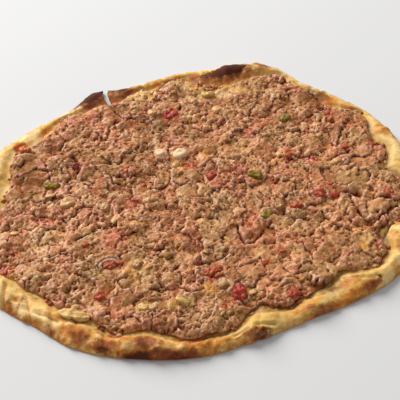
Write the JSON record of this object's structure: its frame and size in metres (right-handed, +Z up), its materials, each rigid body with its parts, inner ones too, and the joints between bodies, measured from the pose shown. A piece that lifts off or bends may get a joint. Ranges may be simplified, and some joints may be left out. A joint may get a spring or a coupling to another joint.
{
  "type": "lahmacun",
  "caption": "Thin oval flatbread with a puffed, torn and charred rim, baked under a crumbly layer of spiced mince with diced onion, tomato and green pepper.",
  "frame": {"origin": "on the table, under the middle of the bounding box", "axes": "+Z up through the bread, +X along its longest way, -Y towards the puffed front edge"},
  "size_m": [0.2958, 0.2744, 0.0095],
  "materials": {
    "crust": "baked dough, cream to golden, with brown and black charred spots",
    "mince": "crumbly cooked mince, moist, tan to brown with orange oil",
    "onion": "cooked onion, pale and wet",
    "tomato": "cooked tomato and red pepper, wet",
    "green_pepper": "cooked green pepper, wet"
  },
  "bodies": {
    "root": {"crust": "crust", "mince": "mince", "onion_1": "onion", "onion_2": "onion", "onion_3": "onion", "onion_4": "onion", "onion_5": "onion", "onion_6": "onion", "onion_7": "onion", "onion_8": "onion", "onion_9": "onion", "onion_10": "onion", "onion_11": "onion", "onion_12": "onion", "onion_13": "onion", "onion_14": "onion", "onion_15": "onion", "onion_16": "onion", "tomato_1": "tomato", "tomato_2": "tomato", "tomato_3": "tomato", "tomato_4": "tomato", "tomato_5": "tomato", "tomato_6": "tomato", "tomato_7": "tomato", "tomato_8": "tomato", "tomato_9": "tomato", "tomato_10": "tomato", "tomato_11": "tomato", "tomato_12": "tomato", "green_pepper_1": "green_pepper", "green_pepper_2": "green_pepper", "green_pepper_3": "green_pepper", "green_pepper_4": "green_pepper"}
  },
  "joints": []
}
